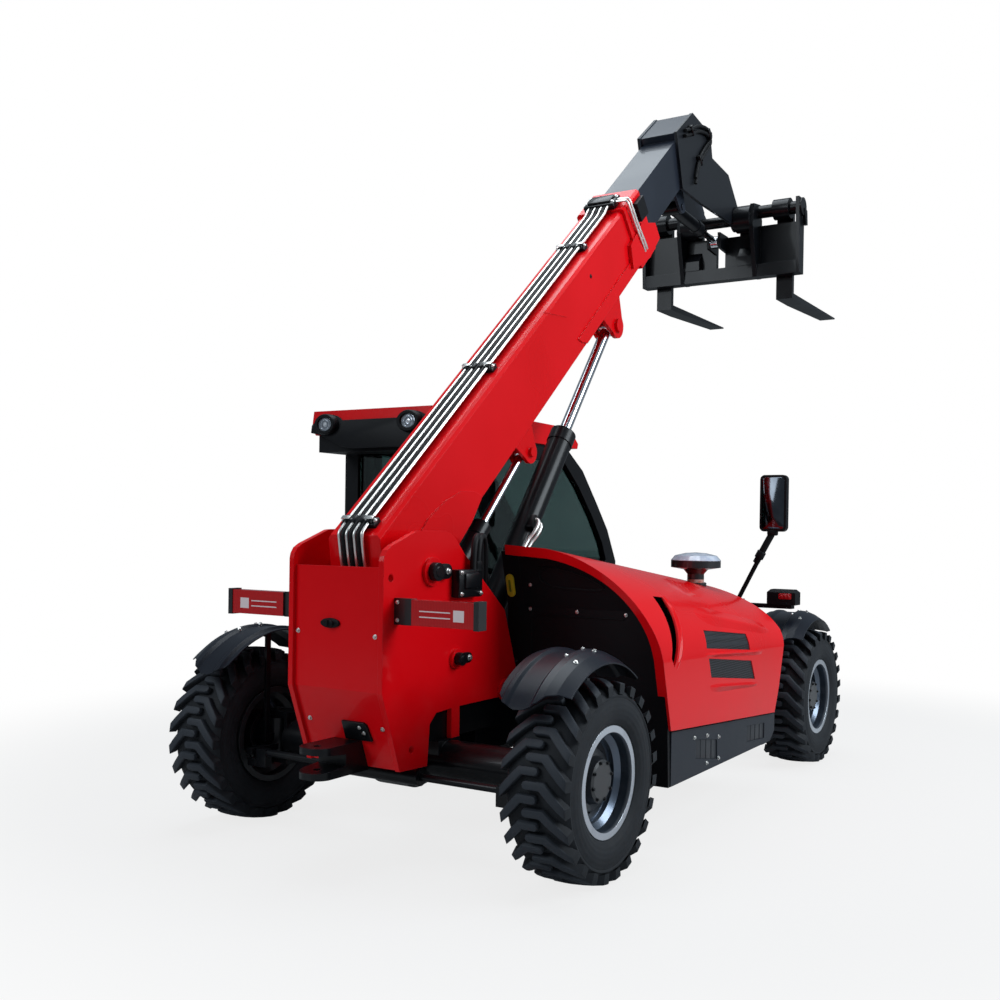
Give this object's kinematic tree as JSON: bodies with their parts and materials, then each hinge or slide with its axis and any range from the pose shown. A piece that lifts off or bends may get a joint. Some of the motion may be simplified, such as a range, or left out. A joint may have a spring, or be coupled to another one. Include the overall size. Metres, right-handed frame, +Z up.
{
  "type": "telehandler",
  "caption": "Compact telescopic handler with a raised boom on a rear tower, pallet forks, side cab, engine hood and wheels steered at both ends.",
  "frame": {"origin": "centre of the whole box's base, on the ground", "axes": "+X forward along the machine, +Y to its left, +Z up"},
  "size_m": [5.38, 2.157, 4.2073],
  "materials": {
    "red_paint": "gloss",
    "black_paint": "satin",
    "slate_paint": "satin",
    "black_plastic": "moulded",
    "lamp_red": "clear lens",
    "lamp_reflector": "polished",
    "tinted_glass": "green tint",
    "seat_cloth": "woven",
    "cast_engine": "cast",
    "hose_rubber": "smooth",
    "rod_chrome": "hard chrome",
    "tyre_rubber": "moulded",
    "rim_silver": "satin"
  },
  "bodies": {
    "chassis": {"chassis_frame": "black_paint", "transmission": "black_paint", "rear_tower": "red_paint", "tow_hitch": "black_paint", "tail_lamps": "lamp_red", "engine_bay": "black_plastic", "side_skirt": "black_plastic", "engine_block": "cast_engine", "cab_shell": "black_paint", "cab_roof": "red_paint", "work_lamps": "lamp_reflector", "cab_glass": "tinted_glass", "operator_seat": "seat_cloth", "controls": "black_plastic", "tank_and_step": "black_plastic", "front_lamps": "black_plastic", "mirror_arm": "black_plastic", "front_axle": "black_paint", "rear_axle": "black_paint"},
    "hood": {"engine_hood": "red_paint", "hood_grilles": "black_plastic", "air_precleaner": "black_plastic"},
    "door": {"cab_door": "black_paint", "cab_door_glass": "tinted_glass"},
    "outer_boom_body": {"outer_boom": "red_paint", "boom_hoses": "hose_rubber", "wear_pads": "black_plastic"},
    "inner_boom_body": {"inner_boom": "slate_paint"},
    "carriage": {"fork_carriage": "slate_paint", "fork_tines": "black_paint"},
    "lift_barrel_body": {"lift_barrel": "black_paint"},
    "lift_rod_body": {"lift_rod": "rod_chrome"},
    "level_barrel_body": {"level_barrel": "black_paint"},
    "level_rod_body": {"level_rod": "rod_chrome"},
    "tilt_barrel_body": {"tilt_barrel": "black_paint"},
    "tilt_rod_body": {"tilt_rod": "rod_chrome"},
    "front_steer_rod_body": {"front_steer_rod": "rod_chrome"},
    "rear_steer_rod_body": {"rear_steer_rod": "rod_chrome"},
    "front_left_steer": {"front_left_knuckle": "black_paint", "front_left_fender": "black_plastic"},
    "front_left_wheel": {"front_left_tyre": "tyre_rubber", "front_left_rim": "rim_silver"},
    "front_right_steer": {"front_right_knuckle": "black_paint", "front_right_fender": "black_plastic"},
    "front_right_wheel": {"front_right_tyre": "tyre_rubber", "front_right_rim": "rim_silver"},
    "rear_left_steer": {"rear_left_knuckle": "black_paint", "rear_left_fender": "black_plastic"},
    "rear_left_wheel": {"rear_left_tyre": "tyre_rubber", "rear_left_rim": "rim_silver"},
    "rear_right_steer": {"rear_right_knuckle": "black_paint", "rear_right_fender": "black_plastic"},
    "rear_right_wheel": {"rear_right_tyre": "tyre_rubber", "rear_right_rim": "rim_silver"}
  },
  "joints": [
    {"name": "boom_lift", "type": "hinge", "parent": "chassis", "child": "outer_boom_body", "pos_m": [-2.22, 0, 1.245], "axis": [0, -1, 0], "range_deg": [-41.6, 18.4]},
    {"name": "boom_extend", "type": "slide", "parent": "outer_boom_body", "child": "inner_boom_body", "axis": [0.7478, 0, 0.6639], "range_m": [-0.35, 1.85]},
    {"name": "carriage_tilt", "type": "hinge", "parent": "inner_boom_body", "child": "carriage", "pos_m": [1.53, 0, 3.7], "axis": [0, 1, 0], "range_deg": [-55, 60]},
    {"name": "lift_barrel_swing", "type": "hinge", "parent": "chassis", "child": "lift_barrel_body", "pos_m": [-1.64, 0, 0.67], "axis": [0, -1, 0], "range_deg": [-43, 19]},
    {"name": "lift_rod_slide", "type": "slide", "parent": "lift_barrel_body", "child": "lift_rod_body", "axis": [0.5947, 0, 0.804], "range_m": [-0.57, 0.255]},
    {"name": "level_barrel_swing", "type": "hinge", "parent": "chassis", "child": "level_barrel_body", "pos_m": [-2.035, 0, 0.855], "axis": [0, -1, 0], "range_deg": [-40, 18]},
    {"name": "level_rod_slide", "type": "slide", "parent": "level_barrel_body", "child": "level_rod_body", "axis": [0.6891, 0, 0.7247], "range_m": [-0.305, 0.137]},
    {"name": "tilt_barrel_swing", "type": "hinge", "parent": "inner_boom_body", "child": "tilt_barrel_body", "pos_m": [0.73, 0, 3.6], "axis": [0, 1, 0], "range_deg": [-3, 3]},
    {"name": "tilt_rod_slide", "type": "slide", "parent": "tilt_barrel_body", "child": "tilt_rod_body", "axis": [0.9974, 0, -0.0727], "range_m": [-0.135, 0.125]},
    {"name": "cab_door_swing", "type": "hinge", "parent": "chassis", "child": "door", "pos_m": [-1.162, 0.993, 1.3], "axis": [0, 0, 1], "range_deg": [0, 75]},
    {"name": "hood_lift", "type": "hinge", "parent": "chassis", "child": "hood", "pos_m": [-1.65, -0.256, 1.358], "axis": [-0.9922, 0, 0.1244], "range_deg": [0, 60]},
    {"name": "front_left_steering", "type": "hinge", "parent": "chassis", "child": "front_left_steer", "pos_m": [0.73, 0.77, 0.415], "axis": [0, 0, 1], "range_deg": [-30, 30]},
    {"name": "front_right_steering", "type": "hinge", "parent": "chassis", "child": "front_right_steer", "pos_m": [0.73, -0.77, 0.415], "axis": [0, 0, 1], "range_deg": [-30, 30]},
    {"name": "front_steer_rod_slide", "type": "slide", "parent": "chassis", "child": "front_steer_rod_body", "axis": [0, 1, 0], "range_m": [-0.096, 0.096]},
    {"name": "front_left_roll", "type": "hinge", "parent": "front_left_steer", "child": "front_left_wheel", "pos_m": [0.73, 0.925, 0.415], "axis": [0, 1, 0], "continuous": true},
    {"name": "front_right_roll", "type": "hinge", "parent": "front_right_steer", "child": "front_right_wheel", "pos_m": [0.73, -0.925, 0.415], "axis": [0, 1, 0], "continuous": true},
    {"name": "rear_left_steering", "type": "hinge", "parent": "chassis", "child": "rear_left_steer", "pos_m": [-2.07, 0.77, 0.415], "axis": [0, 0, 1], "range_deg": [-30, 30]},
    {"name": "rear_right_steering", "type": "hinge", "parent": "chassis", "child": "rear_right_steer", "pos_m": [-2.07, -0.77, 0.415], "axis": [0, 0, 1], "range_deg": [-30, 30]},
    {"name": "rear_steer_rod_slide", "type": "slide", "parent": "chassis", "child": "rear_steer_rod_body", "axis": [0, 1, 0], "range_m": [-0.096, 0.096]},
    {"name": "rear_left_roll", "type": "hinge", "parent": "rear_left_steer", "child": "rear_left_wheel", "pos_m": [-2.07, 0.925, 0.415], "axis": [0, 1, 0], "continuous": true},
    {"name": "rear_right_roll", "type": "hinge", "parent": "rear_right_steer", "child": "rear_right_wheel", "pos_m": [-2.07, -0.925, 0.415], "axis": [0, 1, 0], "continuous": true}
  ],
  "couplings": [
    {"joint": "lift_barrel_swing", "follows": "boom_lift", "ratio": 1.0211},
    {"joint": "lift_rod_slide", "follows": "boom_lift", "m_per_rad": 0.7767},
    {"joint": "level_barrel_swing", "follows": "boom_lift", "ratio": 0.9419},
    {"joint": "level_rod_slide", "follows": "boom_lift", "m_per_rad": 0.4115},
    {"joint": "tilt_barrel_swing", "follows": "carriage_tilt", "ratio": -0.0437},
    {"joint": "tilt_rod_slide", "follows": "carriage_tilt", "m_per_rad": -0.1251},
    {"joint": "front_right_steering", "follows": "front_left_steering", "ratio": 1},
    {"joint": "front_steer_rod_slide", "follows": "front_left_steering", "m_per_rad": 0.1814},
    {"joint": "rear_right_steering", "follows": "rear_left_steering", "ratio": 1},
    {"joint": "rear_steer_rod_slide", "follows": "rear_left_steering", "m_per_rad": -0.1814}
  ]
}
